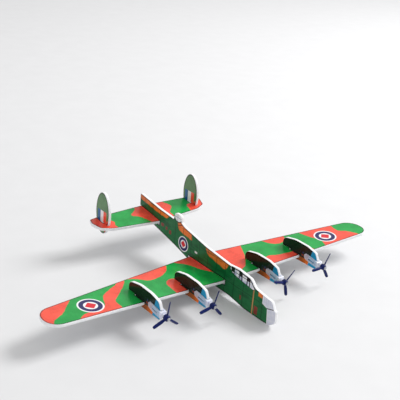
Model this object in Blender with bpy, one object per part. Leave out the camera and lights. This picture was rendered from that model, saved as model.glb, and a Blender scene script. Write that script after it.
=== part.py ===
"""Slot-together foam toy glider: a four-engine, twin-fin bomber layout with freewheeling propellers.

Every foam piece is cut from one flat sheet. The wing passes through a closed slot in the upright
fuselage profile, the tailplane slides into a slot from the rear, the nacelles lap over the wing from
its leading edge and the fins lap over the tailplane. Each nacelle nose carries a plastic clip, and
the clip carries the pin that a propeller spins on.

Frame: +Z up, nose towards -Y, left (port) wing towards +X, with the origin in the middle of the
belly's level stretch, just below the balance point. The pieces are drawn about the wing root's
leading edge, on the wing's upper face, and the last step moves them all to the object's origin.
Lengths are in millimetres until they meet a mesh, and MM turns them into metres.
"""

import math

import bmesh
import bpy
from mathutils import Matrix, Vector

MM = 0.001

# Driving dimensions, in millimetres and degrees.
SPAN = 300.0
ROOT_CHORD = 44.5
SHEET = 2.4
GAP = 0.3
DIHEDRAL = 3.8
INNER_STATION = 34.2
OUTER_STATION = 74.2
PROPELLER_RADIUS = 11.85
TAIL_SLOPE = 6.7
TAIL_HALF_SPAN = 54.0
FIN_STATION = 43.5

# Middle of the belly's level stretch, which becomes the object's origin.
BELLY_REST = Vector((0.0, 5.0, -9.5))

# Wing planform. Both edges run straight to the rounded corners of the tip.
TIP_SWEEP = -7.0
TIP_CHORD = 22.0
TIP_FRONT_RADIUS = 10.0
TIP_REAR_RADIUS = 12.5

# The pieces are drawn from the wing's upper face, so the middle of its sheet is lower.
WING_MIDDLE = -SHEET / 2.0

# How far back from the wing root's leading edge a nacelle laps into the wing.
LAP_DEPTH = 8.0

# Tailplane, in its own flat plane with its root leading edge at the origin.
TAIL_ROOT = Vector((0.0, 86.0, 12.6))
TAIL_CHORD = 27.6

# Fin, centred at (y, z). Its slot ends this far behind the tailplane's half chord.
FIN_CENTRE = (103.2, 23.2)
FIN_HALF_CHORD = 9.4
FIN_HALF_HEIGHT = 17.6
FIN_LAP_SHIFT = 2.0

# Propeller, clip and pin, along the axis of the shaft.
SHAFT_HEIGHT = 1.0
SHAFT_RADIUS = 0.5
BORE_CLEARANCE = 0.2
HUB_FRONT = -29.8
HUB_BACK = -26.5
HUB_RADIUS = 2.3
BLADE_ROOT = 1.3
BLADE_COUNT = 3
BLADE_PITCH = -44.0
BLADE_HALF_CHORD = 1.2
CLIP_BACK = -9.0
CLIP_WALL = 0.9
CLIP_WEB_BACK = -22.3
CLIP_WEB_FRONT = -24.2
CLIP_BOSS_FRONT = -26.2
CLIP_BOSS_RADIUS = 1.7
CLIP_HEIGHT = 4.6
CLIP_SLOT_LENGTH = 7.0
CLIP_SLOT_HEIGHT = 1.4
CLIP_SLOT_MIDDLE = -16.5
CLIP_SLOT_RISE = 0.9
PIN_BACK = -22.9
PIN_HEAD_BACK = -30.1
PIN_HEAD_FRONT = -30.8
PIN_HEAD_RADIUS = 1.2

ARC_STEP = math.radians(10.0)
ROUND_SIDES = 24

# Each station is its name, its side of the centreline, its distance out and its blade angle at rest.
STATIONS = (
    ("right_outer", -1, OUTER_STATION, 201.5),
    ("right_inner", -1, INNER_STATION, 190.7),
    ("left_inner", 1, INNER_STATION, 163.1),
    ("left_outer", 1, OUTER_STATION, 180.5),
)


def clear_scene():
    for obj in list(bpy.context.scene.objects):
        bpy.data.objects.remove(obj, do_unlink=True)


def material(name, colour, roughness, metallic=0.0):
    made = bpy.data.materials.new(name)
    made.use_nodes = True
    shader = made.node_tree.nodes["Principled BSDF"]
    shader.inputs["Base Color"].default_value = (*colour, 1.0)
    shader.inputs["Roughness"].default_value = roughness
    shader.inputs["Metallic"].default_value = metallic
    return made


def wing_height(distance_out):
    """Height of the wing's middle surface at this distance from the centreline."""
    return WING_MIDDLE + distance_out * math.tan(math.radians(DIHEDRAL))


# Outlines


def rounded(corners):
    """Turns (u, v, radius) corners into outline points, with an arc of that radius at each corner."""
    points = []
    for index, (u, v, radius) in enumerate(corners):
        corner = Vector((u, v))
        before = Vector(corners[index - 1][:2]) - corner
        after = Vector(corners[(index + 1) % len(corners)][:2]) - corner
        if radius == 0.0:
            points.append(corner)
            continue
        half_angle = before.angle(after) / 2.0
        reach = radius / math.tan(half_angle)
        bisector = (before.normalized() + after.normalized()).normalized()
        centre = corner + bisector * radius / math.sin(half_angle)
        start = corner + before.normalized() * reach - centre
        end = corner + after.normalized() * reach - centre
        turn = math.atan2(start.x * end.y - start.y * end.x, start.dot(end))
        steps = max(1, math.ceil(abs(turn) / ARC_STEP))
        for step in range(steps + 1):
            swing = Matrix.Rotation(turn * step / steps, 2)
            points.append(centre + swing @ start)
    return points


def ellipse_arc(centre, half_width, half_height, first, last, steps):
    """Points on an ellipse between two angles in degrees."""
    points = []
    for step in range(steps + 1):
        angle = math.radians(first + (last - first) * step / steps)
        offset = Vector((half_width * math.cos(angle), half_height * math.sin(angle)))
        points.append(Vector(centre) + offset)
    return points


def leading_edge(distance_out):
    return TIP_SWEEP * distance_out / (SPAN / 2.0)


def half_wing_outline():
    """Outline of the left half, from the root leading edge round the tip to the root trailing edge."""
    corners = [(0.0, 0.0, 0.0)]
    for station in (INNER_STATION, OUTER_STATION):
        near = station - SHEET / 2.0 - GAP
        far = station + SHEET / 2.0 + GAP
        corners.append((near, leading_edge(near), 0.0))
        corners.append((near, LAP_DEPTH + GAP, 0.0))
        corners.append((far, LAP_DEPTH + GAP, 0.0))
        corners.append((far, leading_edge(far), 0.0))
    corners.append((SPAN / 2.0, TIP_SWEEP, TIP_FRONT_RADIUS))
    corners.append((SPAN / 2.0, TIP_SWEEP + TIP_CHORD, TIP_REAR_RADIUS))
    corners.append((0.0, ROOT_CHORD, 0.0))
    return rounded(corners)


def fuselage_outline():
    """Side profile: upswept tail, dorsal turret dome, canopy, nose turret and the blister under it."""
    return rounded(
        [
            (114.0, 28.1, 1.5),
            (86.0, 24.6, 30.0),
            (66.8, 23.5, 0.8),
            (65.6, 29.8, 3.4),
            (57.2, 29.8, 3.4),
            (56.4, 24.0, 0.8),
            (52.5, 22.2, 6.0),
            (24.0, 17.4, 30.0),
            (-3.5, 15.0, 6.0),
            (-14.0, 16.2, 8.0),
            (-28.5, 14.7, 3.0),
            (-34.0, 9.6, 4.0),
            (-44.5, 8.2, 4.0),
            (-52.2, 7.6, 3.0),
            (-54.6, 2.2, 0.8),
            (-56.4, 1.4, 1.2),
            (-57.2, -7.6, 5.0),
            (-51.0, -11.7, 4.0),
            (-42.5, -12.1, 5.0),
            (-24.0, -12.1, 20.0),
            (-7.0, BELLY_REST.z, 20.0),
            (17.0, BELLY_REST.z, 25.0),
            (63.0, 1.9, 60.0),
            (114.0, 11.6, 1.0),
        ]
    )


def nacelle_outline():
    """Side profile about the middle of the wing's sheet, with the slot that laps over the wing."""
    slot = SHEET / 2.0 + GAP
    return rounded(
        [
            (17.0, slot, 0.0),
            (17.0, 8.2, 5.0),
            (4.0, 11.2, 18.0),
            (-10.0, 11.2, 12.0),
            (-19.6, 9.2, 3.0),
            (-22.0, 4.2, 1.5),
            (-22.0, -4.0, 1.6),
            (3.0, -4.4, 20.0),
            (14.0, -3.6, 1.4),
            (14.0, -slot, 0.0),
            (LAP_DEPTH, -slot, 0.0),
            (LAP_DEPTH, slot, 0.0),
        ]
    )


def half_tail_outline():
    """Left half of the tailplane in its own plane, with the notch that a fin laps into."""
    near = FIN_STATION - SHEET / 2.0 - GAP
    far = FIN_STATION + SHEET / 2.0 + GAP
    notch = TAIL_CHORD / 2.0 + FIN_LAP_SHIFT - GAP
    return rounded(
        [
            (0.0, 0.0, 0.0),
            (42.0, 4.6, 10.0),
            (TAIL_HALF_SPAN - 3.0, 9.0, 4.0),
            (TAIL_HALF_SPAN, 18.0, 6.0),
            (TAIL_HALF_SPAN - 1.6, 23.8, 2.0),
            (far, 25.2, 0.0),
            (far, notch, 0.0),
            (near, notch, 0.0),
            (near, 25.4, 0.0),
            (0.0, TAIL_CHORD, 0.0),
        ]
    )


# Solids


def mesh_object(name, bm, finish=None):
    bmesh.ops.recalc_face_normals(bm, faces=bm.faces)
    mesh = bpy.data.meshes.new(name)
    bm.to_mesh(mesh)
    bm.free()
    obj = bpy.data.objects.new(name, mesh)
    bpy.context.scene.collection.objects.link(obj)
    if finish is not None:
        mesh.materials.append(finish)
    return obj


def side_plate(name, outline, width, finish=None, across=0.0):
    """Extrudes a (y, z) outline along X, centred on across."""
    bm = bmesh.new()
    rings = []
    for x in (across - width / 2.0, across + width / 2.0):
        rings.append([bm.verts.new(Vector((x, p.x, p.y)) * MM) for p in outline])
    close_between(bm, *rings)
    return mesh_object(name, bm, finish)


def close_between(bm, low, high):
    """Caps two matching rings of points and joins them with side faces."""
    bm.faces.new(low)
    bm.faces.new(reversed(high))
    for index in range(len(low)):
        following = (index + 1) % len(low)
        bm.faces.new((low[index], high[index], high[following], low[following]))


def mirrored_sheet(name, half_outline, rise, finish):
    """A sheet from its left half, which starts and ends on the centreline, with both halves rising."""
    bm = bmesh.new()
    rings = {}
    root = {}
    for side in (1, -1):
        for level in (-SHEET / 2.0, SHEET / 2.0):
            ring = []
            for index, point in enumerate(half_outline):
                on_centre = index in (0, len(half_outline) - 1)
                if on_centre and (level, index) in root:
                    ring.append(root[level, index])
                    continue
                height = level + point.x * math.tan(math.radians(rise))
                vert = bm.verts.new(Vector((side * point.x, point.y, height)) * MM)
                ring.append(vert)
                if on_centre:
                    root[level, index] = vert
            rings[side, level] = ring
            bm.faces.new(ring)
        low = rings[side, -SHEET / 2.0]
        high = rings[side, SHEET / 2.0]
        for index in range(len(low) - 1):
            bm.faces.new((low[index], high[index], high[index + 1], low[index + 1]))
    return mesh_object(name, bm, finish)


def block(name, low, high):
    """A box between two corners."""
    bm = bmesh.new()
    bmesh.ops.create_cube(bm, size=1.0)
    size = [b - a for a, b in zip(low, high)]
    middle = [(a + b) / 2.0 for a, b in zip(low, high)]
    bmesh.ops.scale(bm, verts=bm.verts, vec=Vector(size) * MM)
    bmesh.ops.translate(bm, verts=bm.verts, vec=Vector(middle) * MM)
    return mesh_object(name, bm)


def turned(name, profile, finish=None):
    """Turns a closed (y, radius) profile about the Y axis. A point of radius 0 becomes a pole."""
    bm = bmesh.new()
    rings = []
    for along, radius in profile:
        if radius == 0.0:
            rings.append([bm.verts.new(Vector((0.0, along, 0.0)) * MM)])
            continue
        ring = []
        for side in range(ROUND_SIDES):
            angle = math.tau * side / ROUND_SIDES
            spoke = Vector((radius * math.cos(angle), along, radius * math.sin(angle)))
            ring.append(bm.verts.new(spoke * MM))
        rings.append(ring)
    closed = rings if len(rings[0]) == 1 else rings + rings[:1]
    for first, second in zip(closed, closed[1:]):
        for side in range(ROUND_SIDES):
            following = (side + 1) % ROUND_SIDES
            if len(first) == 1:
                bm.faces.new((first[0], second[side], second[following]))
            elif len(second) == 1:
                bm.faces.new((first[side], first[following], second[0]))
            else:
                bm.faces.new((first[side], first[following], second[following], second[side]))
    return mesh_object(name, bm, finish)


def combine(target, helper, operation):
    """Cuts the helper from the target, or joins it on, and removes the helper."""
    step = target.modifiers.new(operation.lower(), "BOOLEAN")
    step.operation = operation
    step.solver = "EXACT"
    step.object = helper
    graph = bpy.context.evaluated_depsgraph_get()
    result = bpy.data.meshes.new_from_object(target.evaluated_get(graph))
    target.modifiers.clear()
    target.data = result
    bpy.data.objects.remove(helper, do_unlink=True)


def shade_round(obj):
    obj.data.shade_smooth()
    obj.data.set_sharp_from_angle(angle=math.radians(35.0))


def copy_of(source, name, location, roll=0.0):
    """A copy that shares the source's mesh, rolled about the fore-aft axis."""
    made = bpy.data.objects.new(name, source.data)
    made.location = Vector(location) * MM
    made.rotation_euler = (0.0, -math.radians(roll), 0.0)
    bpy.context.scene.collection.objects.link(made)
    return made


# Pieces


def lay_in_tail_plane(obj):
    """Moves an object drawn about the tailplane's root leading edge to its sloping place in the tail."""
    obj.location = TAIL_ROOT * MM
    obj.rotation_euler = (math.radians(TAIL_SLOPE), 0.0, 0.0)
    bpy.context.view_layer.update()


def make_fuselage(foam):
    fuselage = side_plate("fuselage", fuselage_outline(), SHEET, foam)
    reach = SHEET
    slot = SHEET / 2.0 + GAP
    slot_low = WING_MIDDLE - slot
    slot_high = WING_MIDDLE + slot + GAP
    wing_slot = block("wing_slot", (-reach, -GAP, slot_low), (reach, ROOT_CHORD + GAP, slot_high))
    combine(fuselage, wing_slot, "DIFFERENCE")
    tail_slot = block("tail_slot", (-reach, -GAP, -slot), (reach, TAIL_CHORD + 10.0, slot))
    lay_in_tail_plane(tail_slot)
    combine(fuselage, tail_slot, "DIFFERENCE")
    return fuselage


def make_wing(foam):
    wing = mirrored_sheet("wing", half_wing_outline(), DIHEDRAL, foam)
    wing.location.z = WING_MIDDLE * MM


def make_tailplane(foam):
    tailplane = mirrored_sheet("tailplane", half_tail_outline(), 0.0, foam)
    lay_in_tail_plane(tailplane)


def make_fin(name, side, foam):
    outline = ellipse_arc(FIN_CENTRE, FIN_HALF_CHORD, FIN_HALF_HEIGHT, 0.0, 350.0, 35)
    fin = side_plate(name, outline, SHEET, foam, across=side * FIN_STATION)
    slot = SHEET / 2.0 + GAP
    middle = side * FIN_STATION
    lap = TAIL_CHORD / 2.0 + FIN_LAP_SHIFT
    cutter = block("fin_slot", (middle - SHEET, -10.0, -slot), (middle + SHEET, lap, slot))
    lay_in_tail_plane(cutter)
    combine(fin, cutter, "DIFFERENCE")


def make_nacelle(name, side, distance_out, foam):
    nacelle = side_plate("nacelle_" + name, nacelle_outline(), SHEET, foam)
    nacelle.location = Vector((side * distance_out, 0.0, wing_height(distance_out))) * MM


def clip_profile():
    """Side profile of a clip about the shaft: a bar with a rounded rear end that hooks up slightly."""
    half = CLIP_HEIGHT / 2.0
    return rounded(
        [
            (CLIP_BACK, half + 2.0, 1.8),
            (CLIP_BACK - 5.0, half + 1.6, 3.0),
            (CLIP_WEB_FRONT, half, 0.8),
            (CLIP_WEB_FRONT, -half, 0.8),
            (CLIP_BACK - 6.0, -half + 0.8, 3.0),
            (CLIP_BACK, -half + 2.4, 1.6),
        ]
    )


def make_clip(plastic):
    inside = SHEET / 2.0 + GAP
    clip = side_plate("prop_clip", clip_profile(), 2.0 * (inside + CLIP_WALL), plastic)
    boss_overlap = 0.6
    boss = turned(
        "boss",
        (
            (CLIP_BOSS_FRONT, 0.0),
            (CLIP_BOSS_FRONT, CLIP_BOSS_RADIUS - 0.3),
            (CLIP_BOSS_FRONT + 0.3, CLIP_BOSS_RADIUS),
            (CLIP_WEB_FRONT + boss_overlap, CLIP_BOSS_RADIUS),
            (CLIP_WEB_FRONT + boss_overlap, 0.0),
        ),
    )
    combine(clip, boss, "UNION")
    tall = CLIP_HEIGHT * 2.0
    mouth = block("mouth", (-inside, CLIP_WEB_BACK, -tall), (inside, CLIP_BACK + 5.0, tall))
    combine(clip, mouth, "DIFFERENCE")
    half_length = CLIP_SLOT_LENGTH / 2.0
    half_height = CLIP_SLOT_HEIGHT / 2.0
    end_radius = 0.95 * half_height
    slot_outline = rounded(
        [
            (CLIP_SLOT_MIDDLE + half_length, half_height + CLIP_SLOT_RISE, end_radius),
            (CLIP_SLOT_MIDDLE - half_length, half_height, end_radius),
            (CLIP_SLOT_MIDDLE - half_length, -half_height, end_radius),
            (CLIP_SLOT_MIDDLE + half_length, -half_height + CLIP_SLOT_RISE, end_radius),
        ]
    )
    combine(clip, side_plate("cheek_slot", slot_outline, tall), "DIFFERENCE")
    bore_radius = SHAFT_RADIUS + BORE_CLEARANCE
    bore_ends = (CLIP_BOSS_FRONT - 1.0, CLIP_WEB_BACK + 1.0)
    bore = turned(
        "bore",
        (
            (bore_ends[0], 0.0),
            (bore_ends[0], bore_radius),
            (bore_ends[1], bore_radius),
            (bore_ends[1], 0.0),
        ),
    )
    combine(clip, bore, "DIFFERENCE")
    shade_round(clip)
    return clip


def make_pin(steel):
    pin = turned(
        "axle_pin",
        (
            (PIN_HEAD_FRONT, 0.0),
            (PIN_HEAD_FRONT, PIN_HEAD_RADIUS - 0.3),
            (PIN_HEAD_FRONT + 0.3, PIN_HEAD_RADIUS),
            (PIN_HEAD_BACK, PIN_HEAD_RADIUS),
            (PIN_HEAD_BACK, SHAFT_RADIUS),
            (PIN_BACK, SHAFT_RADIUS),
            (PIN_BACK, 0.0),
        ),
        steel,
    )
    shade_round(pin)
    return pin


def blade():
    """One blade along +X, lofted through twisted oval sections from the hub to a rounded tip."""
    bm = bmesh.new()
    sections = 9
    around = 12
    hub_middle = (HUB_FRONT + HUB_BACK) / 2.0
    rings = []
    for section in range(sections):
        share = section / (sections - 1)
        radius = BLADE_ROOT + (PROPELLER_RADIUS - BLADE_ROOT) * share
        half_chord = BLADE_HALF_CHORD * (0.7 + 0.3 * min(1.0, 3.0 * share)) * (1.0 - 0.25 * share**16)
        half_depth = 0.6 - 0.25 * share
        twist = math.radians(BLADE_PITCH * (1.0 - 0.25 * share))
        ring = []
        for side in range(around):
            angle = math.tau * side / around
            chordwise = half_chord * math.cos(angle)
            depthwise = half_depth * math.sin(angle)
            along = hub_middle + chordwise * math.sin(twist) + depthwise * math.cos(twist)
            up = chordwise * math.cos(twist) - depthwise * math.sin(twist)
            ring.append(bm.verts.new(Vector((radius, along, up)) * MM))
        rings.append(ring)
    bm.faces.new(rings[0])
    bm.faces.new(reversed(rings[-1]))
    for inner, outer in zip(rings, rings[1:]):
        for side in range(around):
            following = (side + 1) % around
            bm.faces.new((inner[side], inner[following], outer[following], outer[side]))
    return bm


def make_propeller(plastic):
    bore_radius = SHAFT_RADIUS + BORE_CLEARANCE
    propeller = turned(
        "propeller",
        (
            (HUB_FRONT, bore_radius),
            (HUB_FRONT, HUB_RADIUS - 0.7),
            (HUB_FRONT + 0.9, HUB_RADIUS),
            (HUB_BACK, HUB_RADIUS),
            (HUB_BACK, bore_radius),
        ),
        plastic,
    )
    for index in range(BLADE_COUNT):
        bm = blade()
        swing = Matrix.Rotation(-math.tau * index / BLADE_COUNT, 3, "Y")
        bmesh.ops.rotate(bm, verts=bm.verts, cent=(0.0, 0.0, 0.0), matrix=swing)
        combine(propeller, mesh_object("blade", bm), "UNION")
    shade_round(propeller)
    return propeller


def move_origin_to(point):
    """Moves every piece so that this point becomes the object's origin."""
    for obj in bpy.context.scene.objects:
        obj.location -= point * MM


def build():
    clear_scene()
    printed_foam = material("printed_foam", (0.03, 0.36, 0.10), 0.35)
    clear_plastic = material("clear_plastic", (0.62, 0.64, 0.78), 0.25)
    navy_plastic = material("navy_plastic", (0.006, 0.016, 0.075), 0.3)
    steel = material("steel", (0.55, 0.55, 0.57), 0.3, metallic=1.0)

    make_fuselage(printed_foam)
    make_wing(printed_foam)
    make_tailplane(printed_foam)
    make_fin("fin_left", 1, printed_foam)
    make_fin("fin_right", -1, printed_foam)

    clip = make_clip(clear_plastic)
    pin = make_pin(steel)
    propeller = make_propeller(navy_plastic)
    for name, side, distance_out, blade_angle in STATIONS:
        make_nacelle(name, side, distance_out, printed_foam)
        shaft = (side * distance_out, 0.0, wing_height(distance_out) + SHAFT_HEIGHT)
        copy_of(clip, "prop_clip_" + name, shaft)
        copy_of(pin, "axle_pin_" + name, shaft)
        copy_of(propeller, "propeller_" + name, shaft, roll=blade_angle)
    for source in (clip, pin, propeller):
        bpy.data.objects.remove(source, do_unlink=True)
    move_origin_to(BELLY_REST)


build()
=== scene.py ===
"""Looks of the slot-together foam toy glider: printed foam sheet, milky clips and navy propellers.

Each foam piece is rebuilt from its solid with soft die-cut edges and a fine enough surface to carry
its print. The print is drawn in code: each colour patch is a closed curve, and a mesh attribute
holds the distance inside it, which the material turns into a crisp edge. Lengths are in millimetres
about the wing root's leading edge, on the wing's upper face, and ROOT places that point in the frame.
"""

import math

import bmesh
import bpy
from mathutils import Matrix, Vector
from mathutils.bvhtree import BVHTree


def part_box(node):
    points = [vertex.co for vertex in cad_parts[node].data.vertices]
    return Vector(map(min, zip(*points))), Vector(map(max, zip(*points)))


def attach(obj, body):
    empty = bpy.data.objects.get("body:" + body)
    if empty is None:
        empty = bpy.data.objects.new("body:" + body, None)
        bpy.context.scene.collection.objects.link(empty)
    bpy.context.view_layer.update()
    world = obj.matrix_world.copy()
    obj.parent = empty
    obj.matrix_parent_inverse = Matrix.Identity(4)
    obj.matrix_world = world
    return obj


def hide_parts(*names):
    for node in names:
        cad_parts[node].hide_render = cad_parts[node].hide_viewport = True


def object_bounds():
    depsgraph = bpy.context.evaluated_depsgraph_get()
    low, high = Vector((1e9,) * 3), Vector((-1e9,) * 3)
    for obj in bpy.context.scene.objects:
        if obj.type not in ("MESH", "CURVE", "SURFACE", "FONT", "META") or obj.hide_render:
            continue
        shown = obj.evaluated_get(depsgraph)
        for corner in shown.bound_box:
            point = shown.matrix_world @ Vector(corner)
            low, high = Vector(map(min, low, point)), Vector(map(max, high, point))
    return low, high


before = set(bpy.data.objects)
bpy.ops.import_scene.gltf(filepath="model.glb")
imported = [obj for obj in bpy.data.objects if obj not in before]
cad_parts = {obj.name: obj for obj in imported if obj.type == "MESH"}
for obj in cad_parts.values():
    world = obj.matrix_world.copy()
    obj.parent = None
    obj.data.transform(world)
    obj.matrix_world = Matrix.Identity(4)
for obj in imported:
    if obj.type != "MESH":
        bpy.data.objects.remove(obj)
CAD_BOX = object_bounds()

MM = 0.001
SHEET = 2.4
EDGE_ROUND = 0.42
EDGE_LINE = 0.85
PRINT_STEP = 1.5
PAINT_RANGE = 10.0

# The wing's solid gives the place of its root: a sheet over its lowest point, and a root chord
# ahead of its rearmost point.
WING_LOW, WING_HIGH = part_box("wing")
ROOT_CHORD = 44.5
DIHEDRAL = math.radians(3.8)
ROOT = Vector((0.0, WING_HIGH.y - ROOT_CHORD * MM, WING_LOW.z + SHEET * MM))

# The tailplane slopes up to the rear from its root leading edge.
TAIL_SLOPE = math.radians(6.7)
TAIL_ROOT = Vector((0.0, 86.0, 12.6))

SIDES = (("left", 1), ("right", -1))
ENGINES = ("left_outer", "left_inner", "right_inner", "right_outer")


# Curves and distances


def smooth_loop(points, steps=6):
    """A closed Catmull-Rom curve through a few points."""
    curve = []
    count = len(points)
    for index in range(count):
        a, b, c, d = (Vector(points[(index + k - 1) % count]) for k in range(4))
        for step in range(steps):
            t = step / steps
            lift = (c - a) * t
            bend = (2.0 * a - 5.0 * b + 4.0 * c - d) * t * t
            turn = (3.0 * b - a - 3.0 * c + d) * t * t * t
            curve.append(b + 0.5 * (lift + bend + turn))
    return curve


def depth_inside(point, loop):
    """Distance to a closed polygon, positive inside it, limited to what the print needs."""
    inside = False
    nearest = PAINT_RANGE
    x, y = point
    for index, end in enumerate(loop):
        start = loop[index - 1]
        along_x = end[0] - start[0]
        along_y = end[1] - start[1]
        length = along_x * along_x + along_y * along_y
        if length > 0.0:
            share = ((x - start[0]) * along_x + (y - start[1]) * along_y) / length
            share = min(1.0, max(0.0, share))
            gap = math.hypot(x - start[0] - share * along_x, y - start[1] - share * along_y)
            nearest = min(nearest, gap)
        if (start[1] > y) != (end[1] > y):
            crossing = start[0] + along_x * (y - start[1]) / along_y
            if x < crossing:
                inside = not inside
    return nearest if inside else -nearest


def deepest(point, loops):
    return max((depth_inside(point, loop) for loop in loops), default=-PAINT_RANGE)


# Node helpers


class Nodes:
    """Builds a material's node tree with short calls."""

    def __init__(self, name):
        self.material = bpy.data.materials.new(name)
        self.material.use_nodes = True
        self.tree = self.material.node_tree
        self.shader = self.tree.nodes["Principled BSDF"]

    def add(self, kind, **settings):
        node = self.tree.nodes.new(kind)
        for key, value in settings.items():
            setattr(node, key, value)
        return node

    def link(self, value, socket):
        if isinstance(value, bpy.types.NodeSocket):
            self.tree.links.new(value, socket)
        else:
            socket.default_value = value

    def maths(self, operation, *values):
        node = self.add("ShaderNodeMath", operation=operation)
        for value, socket in zip(values, node.inputs):
            self.link(value, socket)
        return node.outputs[0]

    def position(self):
        return self.add("ShaderNodeTexCoord").outputs["Object"]

    def attribute(self, name):
        return self.add("ShaderNodeAttribute", attribute_name=name).outputs["Fac"]

    def noise(self, scale, detail=2.0, roughness=0.5, stretch=None):
        node = self.add("ShaderNodeTexNoise")
        vector = self.position()
        if stretch is not None:
            mapping = self.add("ShaderNodeMapping")
            mapping.inputs["Scale"].default_value = stretch
            self.link(vector, mapping.inputs["Vector"])
            vector = mapping.outputs["Vector"]
        self.link(vector, node.inputs["Vector"])
        node.inputs["Scale"].default_value = scale
        node.inputs["Detail"].default_value = detail
        node.inputs["Roughness"].default_value = roughness
        return node.outputs["Fac"]

    def step(self, value, edge, softness):
        """0 below the edge and 1 above it, over a short ramp."""
        node = self.add("ShaderNodeMapRange", interpolation_type="SMOOTHSTEP")
        self.link(value, node.inputs["Value"])
        node.inputs["From Min"].default_value = edge - softness
        node.inputs["From Max"].default_value = edge + softness
        return node.outputs["Result"]

    def along_and_up(self):
        """Distances back from and up from the drawing's origin, in millimetres."""
        split = self.add("ShaderNodeSeparateXYZ")
        self.link(self.position(), split.inputs[0])
        along = self.maths("MULTIPLY_ADD", split.outputs["Y"], 1.0 / MM, -ROOT.y / MM)
        up = self.maths("MULTIPLY_ADD", split.outputs["Z"], 1.0 / MM, -ROOT.z / MM)
        return along, up

    def near(self, value, middle, half_width, softness=0.12):
        """1 within half a width of the middle, and 0 elsewhere."""
        gap = self.maths("ABSOLUTE", self.maths("SUBTRACT", value, middle))
        return self.maths("SUBTRACT", 1.0, self.step(gap, half_width, softness))

    def both(self, first, second):
        return self.maths("MULTIPLY", first, second)

    def mix(self, share, low, high):
        node = self.add("ShaderNodeMix", data_type="RGBA")
        self.link(share, node.inputs[0])
        self.link(low, node.inputs[6])
        self.link(high, node.inputs[7])
        return node.outputs[2]

    def bump(self, height, distance, strength=1.0, onto=None):
        node = self.add("ShaderNodeBump")
        self.link(height, node.inputs["Height"])
        node.inputs["Distance"].default_value = distance
        node.inputs["Strength"].default_value = strength
        if onto is not None:
            self.link(onto, node.inputs["Normal"])
        return node.outputs["Normal"]

    def finish(self, **inputs):
        for name, value in inputs.items():
            self.link(value, self.shader.inputs[name.replace("_", " ")])
        return self.material


def srgb(red, green, blue):
    """A linear colour from 0 to 255 values."""
    channels = []
    for value in (red, green, blue):
        share = value / 255.0
        channels.append(share / 12.92 if share <= 0.04045 else ((share + 0.055) / 1.055) ** 2.4)
    return (*channels, 1.0)


GREEN = srgb(4, 160, 66)
DARK_GREEN = srgb(0, 106, 52)
CORAL = srgb(246, 84, 62)
ORANGE = srgb(244, 122, 46)
NAVY = srgb(34, 30, 92)
WHITE = srgb(244, 244, 246)
RED = srgb(216, 30, 46)
BLACK = srgb(16, 14, 16)
TEAL = srgb(22, 150, 196)
BROWN = srgb(150, 78, 30)
NACELLE_DARK = srgb(12, 34, 22)
TAN = srgb(190, 140, 84)
GREY = srgb(176, 180, 196)
RUST = srgb(132, 50, 34)
FLASH_BLUE = srgb(30, 96, 150)
OLIVE = srgb(88, 132, 84)
GLASS = srgb(190, 194, 220)

# Distances back from the drawing's origin: the rear edge of the nacelles' teal panels, and the
# front of the clips' cheeks.
PANEL_BACK = -14.0
CLIP_WEB = -22.3


# Materials


def foam_surface(nodes, colour, printed=True, gloss=0.4):
    """Finishes a foam material: a glossy film on the flats, or open beads on the cut edges."""
    waves = nodes.noise(55.0, detail=1.0)
    beads = nodes.add("ShaderNodeTexVoronoi", feature="SMOOTH_F1")
    nodes.link(nodes.position(), beads.inputs["Vector"])
    beads.inputs["Scale"].default_value = 900.0
    if printed:
        normal = nodes.bump(waves, 0.0009, 0.35)
        normal = nodes.bump(beads.outputs["Distance"], 0.00006, 0.35, onto=normal)
        smudge = nodes.noise(140.0, detail=3.0)
        rough = nodes.maths("MULTIPLY_ADD", smudge, 0.16, 0.14)
        nodes.finish(Specular_IOR_Level=gloss)
    else:
        normal = nodes.bump(beads.outputs["Distance"], 0.0002, 0.8)
        rough = nodes.maths("MULTIPLY_ADD", waves, 0.2, 0.6)
        nodes.finish(Subsurface_Weight=0.25, Subsurface_Scale=0.002)
        nodes.shader.inputs["Subsurface Radius"].default_value = (1.0, 0.95, 0.9)
    return nodes.finish(Base_Color=colour, Roughness=rough, Normal=normal)


def ink(nodes, colour, strength=0.16):
    """Breaks a flat ink colour into soft blotches and fine printed grain."""
    blotch = nodes.step(nodes.noise(90.0, detail=4.0, roughness=0.6), 0.5, 0.22)
    grain = nodes.step(nodes.noise(1500.0, detail=2.0), 0.5, 0.3)
    darker = [channel * (1.0 - strength * 1.6) for channel in colour[:3]] + [1.0]
    lighter = [channel * (1.0 + strength) + 0.012 for channel in colour[:3]] + [1.0]
    share = nodes.maths("MULTIPLY_ADD", grain, 0.35, nodes.maths("MULTIPLY", blotch, 0.65))
    return nodes.mix(share, darker, lighter)


def badge(nodes, paint, name="badge"):
    """A plain round target badge: white rim, navy ring and a red diamond on a white middle.

    The attributes hold the distance from the middle, and the same measured as a diamond.
    """
    reach = nodes.attribute(name)
    diamond = nodes.attribute(name + "_diamond")
    paint = nodes.mix(nodes.step(reach, 1.0, 0.02), WHITE, paint)
    paint = nodes.mix(nodes.step(reach, 0.88, 0.02), NAVY, paint)
    paint = nodes.mix(nodes.step(reach, 0.54, 0.02), WHITE, paint)
    return nodes.mix(nodes.step(diamond, 0.48, 0.02), RED, paint)


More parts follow.
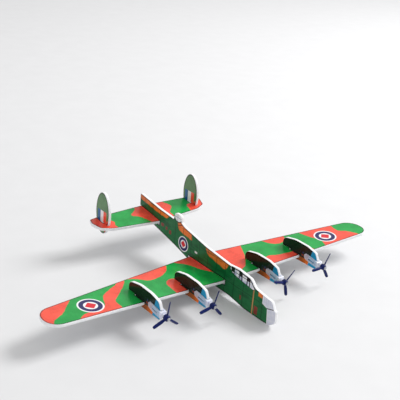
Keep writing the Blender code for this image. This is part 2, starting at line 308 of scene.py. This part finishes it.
def camouflage(name, base, patch=None, has_badge=False, extra=None, gloss=0.4):
    """Base ink with patches of a second ink, a darker line along the cut edge, and any markings."""
    nodes = Nodes(name)
    wobble = nodes.maths("MULTIPLY_ADD", nodes.noise(260.0, detail=3.0), 1.6, -0.8)
    paint = ink(nodes, base)
    if patch is not None:
        depth = nodes.maths("ADD", nodes.attribute("patch"), wobble)
        paint = nodes.mix(nodes.step(depth, 0.0, 0.35), paint, ink(nodes, patch))
    dark = nodes.add("ShaderNodeHueSaturation")
    nodes.link(paint, dark.inputs["Color"])
    dark.inputs["Value"].default_value = 0.3
    rim = nodes.maths("ADD", nodes.attribute("rim"), nodes.maths("MULTIPLY", wobble, 0.15))
    paint = nodes.mix(nodes.step(rim, EDGE_LINE, 0.2), dark.outputs["Color"], paint)
    if extra is not None:
        paint = extra(nodes, paint)
    if has_badge:
        paint = badge(nodes, paint)
    return foam_surface(nodes, paint, gloss=gloss)


def cut_foam():
    nodes = Nodes("cut_foam")
    tint = nodes.noise(700.0, detail=3.0)
    colour = nodes.mix(tint, srgb(226, 228, 232), srgb(252, 252, 253))
    return foam_surface(nodes, colour, printed=False)


def bare_foam():
    """The unprinted face of a sheet: smooth white skin with the beads just showing."""
    nodes = Nodes("bare_foam")
    beads = nodes.add("ShaderNodeTexVoronoi", feature="F1")
    nodes.link(nodes.position(), beads.inputs["Vector"])
    beads.inputs["Scale"].default_value = 700.0
    share = nodes.step(beads.outputs["Distance"], 0.45, 0.3)
    colour = nodes.mix(share, srgb(240, 241, 243), srgb(222, 225, 229))
    return foam_surface(nodes, colour)


def milky_plastic():
    """Moulded translucent polypropylene with flow marks, tinted by the print behind its cheeks."""
    nodes = Nodes("milky_plastic")
    flow = nodes.noise(160.0, detail=4.0, roughness=0.55, stretch=(1.0, 0.35, 1.6))
    colour = nodes.mix(flow, srgb(196, 200, 224), srgb(236, 238, 248))
    along, _ = nodes.along_and_up()
    behind = nodes.mix(nodes.step(along, PANEL_BACK, 0.3), TEAL, BROWN)
    normals = nodes.add("ShaderNodeSeparateXYZ")
    nodes.link(nodes.add("ShaderNodeTexCoord").outputs["Normal"], normals.inputs[0])
    cheek = nodes.step(nodes.maths("ABSOLUTE", normals.outputs["X"]), 0.8, 0.1)
    over_foam = nodes.step(along, CLIP_WEB, 0.3)
    colour = nodes.mix(nodes.both(nodes.both(cheek, over_foam), 0.38), colour, behind)
    rough = nodes.maths("MULTIPLY_ADD", flow, 0.2, 0.16)
    normal = nodes.bump(flow, 0.0003, 0.4)
    nodes.shader.inputs["Subsurface Radius"].default_value = (1.0, 1.0, 1.15)
    nodes.finish(Subsurface_Weight=0.5, Subsurface_Scale=0.0025, Coat_Weight=0.4, Coat_Roughness=0.1)
    return nodes.finish(Base_Color=colour, Roughness=rough, Normal=normal)


def navy_plastic():
    """Glossy dark navy styrene, slightly paler where it is handled."""
    nodes = Nodes("navy_plastic")
    flow = nodes.noise(240.0, detail=4.0, roughness=0.6)
    colour = nodes.mix(flow, srgb(0, 14, 70), srgb(2, 30, 104))
    rough = nodes.maths("MULTIPLY_ADD", nodes.noise(900.0, detail=3.0), 0.2, 0.22)
    normal = nodes.bump(flow, 0.00025, 0.35)
    return nodes.finish(Base_Color=colour, Roughness=rough, Normal=normal, Specular_IOR_Level=0.2)


def pin_steel():
    nodes = Nodes("pin_steel")
    drawn = nodes.noise(600.0, detail=3.0, stretch=(4.0, 0.2, 4.0))
    colour = nodes.mix(drawn, srgb(150, 152, 158), srgb(206, 208, 212))
    rough = nodes.maths("MULTIPLY_ADD", drawn, 0.2, 0.2)
    normal = nodes.bump(drawn, 0.00003, 0.5)
    return nodes.finish(Base_Color=colour, Roughness=rough, Normal=normal, Metallic=1.0)


# Foam pieces


def to_drawing(point):
    """A frame position as millimetres about the wing root's leading edge."""
    return (point - ROOT) / MM


def soft_sheet(node, normal, cuts, step=PRINT_STEP):
    """A copy of a sheet's solid with soft die-cut edges, sliced finely enough to carry its print.

    The first material slot is the cut edge, the second the face towards the normal, the third the
    face away from it.
    """
    bm = bmesh.new()
    bm.from_mesh(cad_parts[node].data)
    bmesh.ops.remove_doubles(bm, verts=bm.verts, dist=0.000002)
    bmesh.ops.dissolve_limit(bm, angle_limit=math.radians(0.6), verts=bm.verts, edges=bm.edges)
    bm.normal_update()

    def is_flat(face):
        return abs(face.normal.dot(normal)) > 0.9

    rims = [e for e in bm.edges if len(e.link_faces) == 2 and sum(map(is_flat, e.link_faces)) == 1]
    bmesh.ops.bevel(bm, geom=rims, offset=EDGE_ROUND * MM, segments=3, profile=0.6, affect="EDGES")
    bmesh.ops.triangulate(bm, faces=[f for f in bm.faces if len(f.verts) > 4])
    for axis in cuts:
        values = [vert.co.dot(axis) for vert in bm.verts]
        place = min(values) + step * MM / 2.0
        while place < max(values):
            everything = bm.verts[:] + bm.edges[:] + bm.faces[:]
            bmesh.ops.bisect_plane(bm, geom=everything, plane_co=axis * place, plane_no=axis, dist=1e-7)
            place += step * MM
    bm.normal_update()
    bm.verts.index_update()
    for face in bm.faces:
        towards = face.normal.dot(normal)
        face.material_index = 0
        if abs(towards) > 0.97:
            face.material_index = 1 if towards > 0.0 else 2
        face.smooth = True
    corners = [vert.co.copy() for vert in bm.verts]
    edges = [[vert.index for vert in face.verts] for face in bm.faces if face.material_index == 0]
    cut_edge = BVHTree.FromPolygons(corners, edges)
    mesh = bpy.data.meshes.new(node + "_foam")
    bm.to_mesh(mesh)
    bm.free()
    layer = mesh.attributes.new("rim", "FLOAT", "POINT")
    gaps = [cut_edge.find_nearest(corner)[3] / MM for corner in corners]
    layer.data.foreach_set("value", gaps)
    return mesh


def paint_attribute(mesh, name, value_at):
    """Stores value_at(drawing point) on every vertex."""
    layer = mesh.attributes.new(name, "FLOAT", "POINT")
    values = [value_at(to_drawing(vert.co)) for vert in mesh.vertices]
    layer.data.foreach_set("value", values)


def paint_badge(mesh, middle, radius, flat):
    """Distances from a badge's middle in radii. flat turns a drawing point into the sheet's plane."""

    def offset(point):
        u, v = flat(point)
        return (u - middle[0]) / radius, (v - middle[1]) / radius

    paint_attribute(mesh, "badge", lambda point: math.hypot(*offset(point)))
    paint_attribute(mesh, "badge_diamond", lambda point: sum(abs(part) for part in offset(point)))


def place_foam(node, mesh, edge, front, back):
    for finish in (edge, front, back):
        mesh.materials.append(finish)
    mesh.set_sharp_from_angle(angle=math.radians(50.0))
    piece = bpy.data.objects.new(node + "_printed", mesh)
    bpy.context.scene.collection.objects.link(piece)
    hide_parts(node)
    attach(piece, "airframe")
    return piece


ALONG_X = Vector((1.0, 0.0, 0.0))
ALONG_Y = Vector((0.0, 1.0, 0.0))
ALONG_Z = Vector((0.0, 0.0, 1.0))

# Coral patches on the wing, as (x, y) loops. The camouflage isn't the same on both wings.
WING_PATCHES = (
    ((-116, 24), (-122, 19), (-130, 10), (-135, 5), (-143, 0), (-150, -9), (-160, 0), (-140, 28)),
    ((-68, 40), (-76, 30), (-88, 22), (-97, 16), (-103, 4), (-112, 0), (-122, -1), (-130, -12),
     (-97, -10), (-93, 6), (-84, 15), (-72, 28)),
    ((-72, 34), (-62, 29), (-54, 23), (-44, 24), (-35, 29), (-28, 38), (-32, 50)),
    ((-31, 14), (-39, 18), (-45, 13), (-46, 4), (-46, -12), (-30, -10)),
    ((-24, 48), (-20, 41), (-11, 33), (-6, 22), (0, 15), (8, 4), (24, 7), (34, 18), (42, 32), (44, 46)),
    ((48, 9), (60, 6), (72, 4), (86, 4), (86, -12), (48, -12)),
    ((64, 36), (67, 23), (75, 20), (82, 24), (82, 36)),
    ((100, 30), (100, 16), (104, 5), (102, -10), (136, -10), (134, 3), (128, 9), (127, 24)),
)
WING_BADGES = (112.0, 7.6)
WING_BADGE_RADIUS = 9.4


def make_wing(edge, bare):
    mesh = soft_sheet("wing", ALONG_Z, (ALONG_X, ALONG_Y))
    loops = [smooth_loop(patch) for patch in WING_PATCHES]
    paint_attribute(mesh, "patch", lambda p: deepest((p.x, p.y), loops))
    paint_badge(mesh, WING_BADGES, WING_BADGE_RADIUS, lambda p: (abs(p.x), p.y))
    print_ink = camouflage("wing_print", GREEN, CORAL, has_badge=True)
    place_foam("wing", mesh, edge, print_ink, bare)


# Coral patches on the tailplane, in its own plane, with y from the root leading edge.
TAIL_PATCHES = (
    ((-7, 34), (-9, 24), (-17, 17), (-12, 12), (-8, 4), (-4, -6), (14, -6), (16, 9), (23, 17),
     (20, 25), (16, 34)),
    ((36, 12), (41, 15), (45, 18), (46, 34), (62, 34), (62, -6), (36, -6)),
    ((-37, -4), (-38, 8), (-36, 14), (-41, 22), (-42, 36), (-62, 30), (-62, -4)),
)


def in_tail_plane(point):
    """A drawing point as (x, distance back from the tailplane's root leading edge)."""
    offset = point - TAIL_ROOT
    return offset.x, offset.y * math.cos(TAIL_SLOPE) + offset.z * math.sin(TAIL_SLOPE)


def make_tailplane(edge, bare):
    normal = Vector((0.0, -math.sin(TAIL_SLOPE), math.cos(TAIL_SLOPE)))
    mesh = soft_sheet("tailplane", normal, (ALONG_X, ALONG_Y))
    loops = [smooth_loop(patch) for patch in TAIL_PATCHES]
    paint_attribute(mesh, "patch", lambda p: deepest(in_tail_plane(p), loops))
    place_foam("tailplane", mesh, edge, camouflage("tail_print", GREEN, CORAL), bare)


# Fuselage print, as (y, z) loops.
FUSELAGE_ORANGE = (
    ((120, 34), (120, 25), (104, 22.6), (90, 20.9), (80, 20.2), (75, 21), (73, 30)),
    ((61, 27), (60.8, 21.5), (59, 17.6), (54, 16.2), (47, 15.6), (42.2, 15.2), (42.6, 19.5), (46, 27)),
    ((23.6, 22), (22.4, 13), (16, 11), (6, 9.6), (-0.6, 9.8), (-1.6, 20)),
)
CANOPY = ((-3.6, 20), (-4.6, 14.4), (-7, 11), (-12, 9.5), (-19, 8.4), (-26, 7.7), (-32, 7.3),
          (-34.6, 10), (-36, 14), (-30, 20))
DOME = ((65.9, 34), (66, 26.4), (63.8, 23.7), (60.6, 23), (57.8, 24), (56, 26.4), (56, 34))
FUSELAGE_BADGE = (52.4, 7.6)
FUSELAGE_BADGE_RADIUS = 6.4
PANEL_PITCH = 10.6

# Places on the fuselage print: distances back from the drawing's origin, and heights.
SEAM_WIDTH = 0.22
WAIST_HEIGHT = 1.5
TAN_STRIPE = -32.6
SIDE_PORT = (35.8, 7.5, 1.5, 0.8)
NOSE_PATCH = (-39.9, 7.4, 2.3, 1.9)
CANOPY_FRAMES = -8.6
FRAME_PITCH = 8.7
CANOPY_SILL = 12.2
DOME_FRAME = (61.6, 26.8)
DOME_BANDS = (47.1, 44.7)
LEDGE_MIDDLE = -47.7
LEDGE_SLOPE = 0.29
TURRET_BACK = -42.4
BLISTER_BACK = -47.8

# Small printed hatches as (y, z, half length, half height).
HATCHES = (
    (-36.3, -7.0, 1.9, 3.2),
    (-19.0, -4.8, 0.8, 1.8),
    (70.4, 10.4, 1.5, 1.7),
    (75.4, 11.8, 1.2, 1.3),
    (81.0, 12.8, 1.9, 1.4),
)


def panel_lines(nodes, along, up, paint):
    """Dark seams across the body and one along it, over darker streaks."""
    phase = nodes.maths("PINGPONG", along, PANEL_PITCH / 2.0)
    across = nodes.near(phase, 0.0, SEAM_WIDTH)
    waist = nodes.near(up, WAIST_HEIGHT, 0.2)
    seams = nodes.maths("MULTIPLY", nodes.maths("MAXIMUM", across, waist), 0.8)
    grain = nodes.noise(150.0, detail=4.0, roughness=0.7, stretch=(1.0, 0.3, 1.6))
    streaks = nodes.step(grain, 0.56, 0.05)
    paint = nodes.mix(nodes.both(streaks, 0.45), paint, srgb(0, 58, 30))
    return nodes.mix(seams, paint, srgb(0, 40, 22))


def inside_box(nodes, along, up, box, softness):
    """1 inside a box of (distance back, height, half length, half height)."""
    middle, height, half_length, half_height = box
    lengthwise = nodes.near(along, middle, half_length, softness)
    return nodes.both(lengthwise, nodes.near(up, height, half_height, softness))


def hatches(nodes, along, up, paint):
    """A tan stripe behind the nose, rust hatches, a white port and an orange patch."""
    paint = nodes.mix(nodes.near(along, TAN_STRIPE, 0.6), paint, ink(nodes, TAN))
    for hatch in HATCHES:
        paint = nodes.mix(inside_box(nodes, along, up, hatch, 0.3), paint, ink(nodes, RUST))
    paint = nodes.mix(inside_box(nodes, along, up, SIDE_PORT, 0.3), paint, WHITE)
    return nodes.mix(inside_box(nodes, along, up, NOSE_PATCH, 0.12), paint, ink(nodes, ORANGE))


def canopy(nodes, along, up, paint):
    """White panes with dark frames in pairs, and a dark line round the glazing."""
    depth = nodes.attribute("canopy")
    pair = nodes.maths("PINGPONG", nodes.maths("SUBTRACT", along, CANOPY_FRAMES), FRAME_PITCH / 2.0)
    bars = nodes.near(pair, 1.4, 0.5)
    upper = nodes.both(nodes.step(up, CANOPY_SILL - 0.8, 0.3), nodes.near(pair, 0.0, 1.8))
    sill = nodes.near(up, CANOPY_SILL, 0.22)
    dark = nodes.near(nodes.attribute("rim"), 0.9, 0.45)
    for mark in (bars, upper, sill):
        dark = nodes.maths("MAXIMUM", dark, mark)
    shade = nodes.step(nodes.noise(420.0, detail=3.0), 0.52, 0.1)
    panes = nodes.mix(shade, WHITE, GLASS)
    glazing = nodes.mix(dark, panes, BLACK)
    glazing = nodes.mix(nodes.near(depth, 0.0, 0.35), glazing, BLACK)
    return nodes.mix(nodes.step(depth, 0.0, 0.15), paint, glazing)


def turret_dome(nodes, along, up, paint):
    """A white glazed dome with grey frames, over two rust bands."""
    slant = nodes.maths("MULTIPLY_ADD", along, 0.4, up)
    span = nodes.near(along, 57.9, 3.2, 0.2)
    for level in DOME_BANDS:
        paint = nodes.mix(nodes.both(span, nodes.near(slant, level, 0.45)), paint, RUST)
    depth = nodes.attribute("dome")
    upright = nodes.near(along, DOME_FRAME[0], 0.3)
    frames = nodes.maths("MAXIMUM", upright, nodes.near(up, DOME_FRAME[1], 0.25))
    glazing = nodes.mix(frames, ink(nodes, WHITE, 0.05), GREY)
    glazing = nodes.mix(nodes.near(depth, 0.1, 0.4), glazing, BLACK)
    return nodes.mix(nodes.step(depth, 0.0, 0.15), paint, glazing)


def nose_glazing(nodes, along, up, paint):
    """The nose turret over the aimer's blister: pale lavender lobes with a white line round them.

    A shallow V, lowest at its middle, is the turret's ledge behind and the gap over the blister ahead.
    """
    behind = nodes.maths("SUBTRACT", along, LEDGE_MIDDLE)
    vee = nodes.maths("MULTIPLY_ADD", nodes.maths("ABSOLUTE", behind), LEDGE_SLOPE, 0.3)
    over = nodes.maths("SUBTRACT", up, vee)
    turret = nodes.maths("MINIMUM", nodes.maths("SUBTRACT", TURRET_BACK, along), over)
    blister = nodes.maths("MULTIPLY_ADD", up, 0.08, nodes.maths("SUBTRACT", BLISTER_BACK, along))
    depth = nodes.maths("MAXIMUM", turret, blister)
    bars = nodes.near(nodes.maths("PINGPONG", along, 1.1), 0.0, 0.14)
    cloud = nodes.noise(380.0, detail=4.0)
    glass = nodes.mix(cloud, GLASS, WHITE)
    glass = nodes.mix(nodes.both(nodes.both(bars, nodes.step(over, 0.5, 0.2)), 0.5), glass, GREY)
    forward = nodes.maths("SUBTRACT", 1.0, nodes.step(behind, 0.3, 0.2))
    gap = nodes.both(nodes.near(over, 0.0, 0.35), forward)
    glass = nodes.mix(nodes.step(depth, 0.6, 0.15), WHITE, glass)
    glass = nodes.mix(gap, glass, BLACK)
    return nodes.mix(nodes.step(depth, 0.0, 0.15), paint, glass)


def fuselage_marks(nodes, paint):
    along, up = nodes.along_and_up()
    paint = panel_lines(nodes, along, up, paint)
    paint = hatches(nodes, along, up, paint)
    paint = turret_dome(nodes, along, up, paint)
    paint = canopy(nodes, along, up, paint)
    return nose_glazing(nodes, along, up, paint)


def make_fuselage(edge):
    mesh = soft_sheet("fuselage", ALONG_X, (ALONG_Y, ALONG_Z), step=1.0)
    loops = [smooth_loop(patch) for patch in FUSELAGE_ORANGE]
    paint_attribute(mesh, "patch", lambda p: deepest((p.y, p.z), loops))
    for name, outline in (("canopy", CANOPY), ("dome", DOME)):
        loop = smooth_loop(outline)
        paint_attribute(mesh, name, lambda p, loop=loop: depth_inside((p.y, p.z), loop))
    paint_badge(mesh, FUSELAGE_BADGE, FUSELAGE_BADGE_RADIUS, lambda p: (p.y, p.z))
    print_ink = camouflage(
        "fuselage_print", DARK_GREEN, ORANGE, has_badge=True, extra=fuselage_marks, gloss=0.25
    )
    place_foam("fuselage", mesh, edge, print_ink, print_ink)


# Fin flash: three upright stripes above the tailplane, and a coral patch ahead of the fin's foot.
FLASH_HIGH = 25.3
FLASH_LOW = 13.5
FLASH_BACK = 110.0
STRIPE_WIDTH = 4.2
FIN_CORAL = ((86, 20), (92, 22), (97, 17), (99, 12), (98, 2), (84, 2))


def flash(nodes, paint):
    along, up = nodes.along_and_up()
    stripes = paint
    for index, colour in enumerate((CORAL, WHITE, FLASH_BLUE)):
        start = FLASH_BACK - STRIPE_WIDTH * (3 - index)
        stripes = nodes.mix(nodes.step(along, start, 0.15), stripes, colour)
    stripes = nodes.mix(nodes.step(along, FLASH_BACK, 0.15), stripes, paint)
    stripes = nodes.mix(nodes.step(up, FLASH_HIGH, 0.15), stripes, paint)
    return nodes.mix(nodes.step(up, FLASH_LOW, 0.15), paint, stripes)


def make_fins(edge):
    print_ink = camouflage("fin_print", OLIVE, CORAL, extra=flash)
    loop = smooth_loop(FIN_CORAL)
    for name, side in SIDES:
        node = "fin_" + name
        mesh = soft_sheet(node, ALONG_X * side, (ALONG_Y, ALONG_Z))
        paint_attribute(mesh, "patch", lambda p: depth_inside((p.y, p.z), loop))
        place_foam(node, mesh, edge, print_ink, print_ink)


# Nacelle print, with heights from the wing's upper face.
PANEL_LEAN = 0.25
STUB_PITCH = 3.2
STUB_HEIGHT = 3.0
STREAK_HEIGHT = 0.9


def nacelle_marks(nodes, paint):
    """A teal front panel, a brown and orange belly, and exhaust stubs over a rust streak."""
    along, _ = nodes.along_and_up()
    height = nodes.attribute("height")
    stubs = nodes.near(nodes.maths("PINGPONG", along, STUB_PITCH / 2.0), 0.0, 0.55)
    stubs = nodes.both(stubs, nodes.near(height, STUB_HEIGHT, 0.8, 0.3))
    stubs = nodes.both(stubs, nodes.near(along, -8.5, 5.0))
    paint = nodes.mix(stubs, paint, srgb(60, 60, 110))
    streak = nodes.near(height, STREAK_HEIGHT, 0.7, 0.4)
    paint = nodes.mix(nodes.both(streak, nodes.near(along, -9.0, 4.0, 0.8)), paint, RUST)
    belly = nodes.mix(nodes.step(along, -9.0, 5.0), ORANGE, BROWN)
    paint = nodes.mix(nodes.step(height, -SHEET / 2.0, 0.3), belly, paint)
    slant = nodes.maths("MULTIPLY_ADD", height, PANEL_LEAN, along)
    return nodes.mix(nodes.step(slant, PANEL_BACK, 0.2), ink(nodes, TEAL), paint)


def make_nacelles(edge):
    print_ink = camouflage("nacelle_print", NACELLE_DARK, extra=nacelle_marks, gloss=0.2)
    for engine in ENGINES:
        node = "nacelle_" + engine
        low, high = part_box(node)
        distance_out = abs(low.x + high.x) / 2.0 / MM
        rise = distance_out * math.tan(DIHEDRAL)
        mesh = soft_sheet(node, ALONG_X, (ALONG_Y, ALONG_Z))
        paint_attribute(mesh, "height", lambda p, rise=rise: p.z - rise)
        place_foam(node, mesh, edge, print_ink, print_ink)


# Moulded pieces


def soften(node, width):
    """Rounds a moulded piece's edges without changing its solid's own points."""
    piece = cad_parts[node]
    step = piece.modifiers.new("moulded_edges", "BEVEL")
    step.width = width * MM
    step.segments = 2
    step.limit_method = "ANGLE"
    step.angle_limit = math.radians(40.0)
    return piece


def finish_moulded():
    milky = milky_plastic()
    navy = navy_plastic()
    steel = pin_steel()
    finishes = []
    for engine in ENGINES:
        finishes.append(("prop_clip_" + engine, milky, 0.12))
        finishes.append(("propeller_" + engine, navy, 0.1))
        finishes.append(("axle_pin_" + engine, steel, 0.05))
    for node, finish, width in finishes:
        piece = soften(node, width)
        piece.data.materials.clear()
        piece.data.materials.append(finish)


# Stage. The key light stands off the glider's left, so each upright sheet shades the face to its right.

FLOOR_REACH = 4.0
FLOOR_GAP = 0.0004
KEY_PLACE = Vector((1.4, -0.2, 1.3))
KEY_SIZE = 0.8
KEY_POWER = 29.0
SKY_STRENGTH = {"To Min": 0.62, "To Max": 0.72}


def make_key_light():
    lamp = bpy.data.lights.new("key", "AREA")
    lamp.energy = KEY_POWER
    lamp.size = KEY_SIZE
    holder = bpy.data.objects.new("key", lamp)
    holder.location = KEY_PLACE
    holder.rotation_euler = (-KEY_PLACE).to_track_quat("-Z", "Y").to_euler()
    bpy.context.scene.collection.objects.link(holder)


def make_floor():
    nodes = Nodes("pale_floor")
    speckle = nodes.noise(40.0, detail=3.0)
    colour = nodes.mix(speckle, srgb(220, 220, 221), srgb(226, 226, 227))
    nodes.finish(Base_Color=colour, Roughness=0.7)
    bm = bmesh.new()
    bmesh.ops.create_grid(bm, x_segments=2, y_segments=2, size=FLOOR_REACH)
    mesh = bpy.data.meshes.new("floor")
    bm.to_mesh(mesh)
    bm.free()
    mesh.materials.append(nodes.material)
    floor = bpy.data.objects.new("floor", mesh)
    floor.location = (0.0, 0.0, CAD_BOX[0][2] - FLOOR_GAP)
    bpy.context.scene.collection.objects.link(floor)


def make_surround():
    """An even white light from all round, a little stronger from above."""
    world = bpy.data.worlds.new("studio")
    world.use_nodes = True
    links = world.node_tree.links
    make = world.node_tree.nodes.new
    background = world.node_tree.nodes["Background"]
    background.inputs["Color"].default_value = (1.0, 1.0, 1.0, 1.0)
    split = make("ShaderNodeSeparateXYZ")
    links.new(make("ShaderNodeTexCoord").outputs["Generated"], split.inputs[0])
    ramp = make("ShaderNodeMapRange")
    links.new(split.outputs["Z"], ramp.inputs["Value"])
    ramp.inputs["From Min"].default_value = 0.25
    ramp.inputs["From Max"].default_value = 0.6
    for socket, strength in SKY_STRENGTH.items():
        ramp.inputs[socket].default_value = strength
    links.new(ramp.outputs["Result"], background.inputs["Strength"])
    bpy.context.scene.world = world


# Camera, as a direction to the glider, a distance, and the point in the middle of the picture.
VIEW_AZIMUTH = math.radians(-39.5)
VIEW_ELEVATION = math.radians(22.9)
VIEW_ROLL = math.radians(4.76)
VIEW_DISTANCE = 630.0
VIEW_SHIFT_RIGHT = -14.2
VIEW_SHIFT_UP = 57.0
VIEW_FOCUS_Y = 8.0
LENS = 75.3


def make_camera():
    lens = bpy.data.cameras.new("camera")
    lens.lens = LENS
    lens.clip_start = 0.01
    camera = bpy.data.objects.new("camera", lens)
    bpy.context.scene.collection.objects.link(camera)
    back = Vector((
        math.sin(VIEW_AZIMUTH) * math.cos(VIEW_ELEVATION),
        -math.cos(VIEW_AZIMUTH) * math.cos(VIEW_ELEVATION),
        math.sin(VIEW_ELEVATION),
    ))
    level = Vector((math.cos(VIEW_AZIMUTH), math.sin(VIEW_AZIMUTH), 0.0))
    upright = back.cross(level)
    right = math.cos(VIEW_ROLL) * level + math.sin(VIEW_ROLL) * upright
    up = math.cos(VIEW_ROLL) * upright - math.sin(VIEW_ROLL) * level
    focus = ROOT + Vector((0.0, VIEW_FOCUS_Y, 0.0)) * MM
    focus += (right * VIEW_SHIFT_RIGHT + up * VIEW_SHIFT_UP) * MM
    place = focus + back * VIEW_DISTANCE * MM
    turn = Matrix((right, up, back)).transposed().to_4x4()
    camera.matrix_world = Matrix.Translation(place) @ turn
    bpy.context.scene.camera = camera


def main():
    edge = cut_foam()
    bare = bare_foam()
    make_wing(edge, bare)
    make_tailplane(edge, bare)
    make_fins(edge)
    make_fuselage(edge)
    make_nacelles(edge)
    finish_moulded()
    make_floor()
    make_surround()
    make_key_light()
    make_camera()
    bpy.context.scene.view_settings.view_transform = "Standard"


main()
